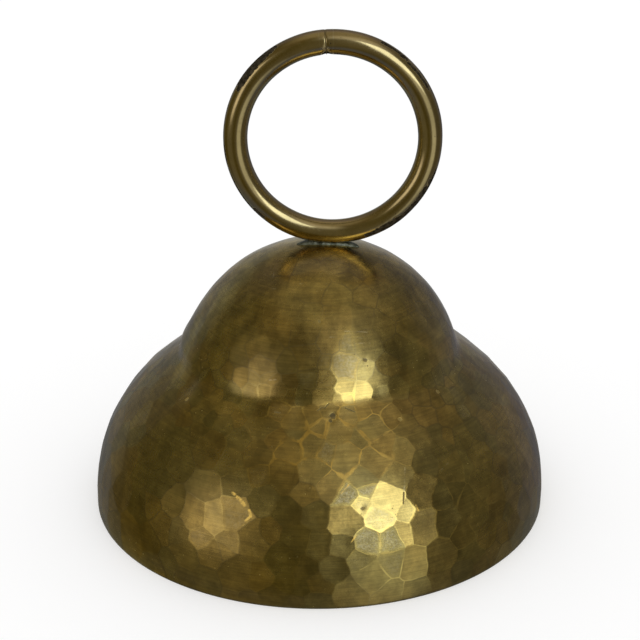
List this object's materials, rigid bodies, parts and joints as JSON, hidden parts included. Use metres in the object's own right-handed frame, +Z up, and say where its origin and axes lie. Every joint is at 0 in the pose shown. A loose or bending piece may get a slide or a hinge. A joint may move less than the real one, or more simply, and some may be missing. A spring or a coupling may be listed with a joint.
{
  "type": "hand bell",
  "caption": "Hammered brass temple bell with a double-domed shell, a round ring handle and a ball clapper that hangs inside on a link.",
  "frame": {"origin": "centre of the mouth, on the plane of the rim that the bell stands on", "axes": "+Z up along the bell's axis towards the ring handle; the ring lies in the XZ plane; the clapper's main swing is towards +Y and -Y, about X"},
  "size_m": [0.2, 0.2, 0.2074],
  "materials": {
    "shell_brass": "aged hammered brass, darkened, worn bright along the ridges",
    "ring_brass": "satin brass rod with dark tarnish patches",
    "braze": "rough braze",
    "solder": "dull grey-green solder",
    "staple_brass": "tarnished brass wire",
    "iron_wire": "dark oxidised iron wire",
    "clapper_brass": "turned brass, dulled, with a bright band where it strikes"
  },
  "bodies": {
    "bell": {"bell_shell": "shell_brass", "ring_handle": "ring_brass", "ring_joint_braze": "braze", "ring_seat_solder": "solder", "clapper_staple": "staple_brass", "staple_solder_left": "solder", "staple_solder_right": "solder"},
    "link": {"clapper_link": "iron_wire"},
    "clapper": {"clapper_rod": "iron_wire", "clapper_ball": "clapper_brass", "clapper_washer": "clapper_brass"}
  },
  "joints": [
    {"name": "link_swing", "type": "hinge", "parent": "bell", "child": "link", "pos_m": [0, 0, 0.097], "axis": [1, 0, 0], "range_deg": [-50, 50]},
    {"name": "clapper_swing", "type": "hinge", "parent": "link", "child": "clapper", "pos_m": [0, 0, 0.0814], "axis": [0, 1, 0], "range_deg": [-17, 17]}
  ]
}
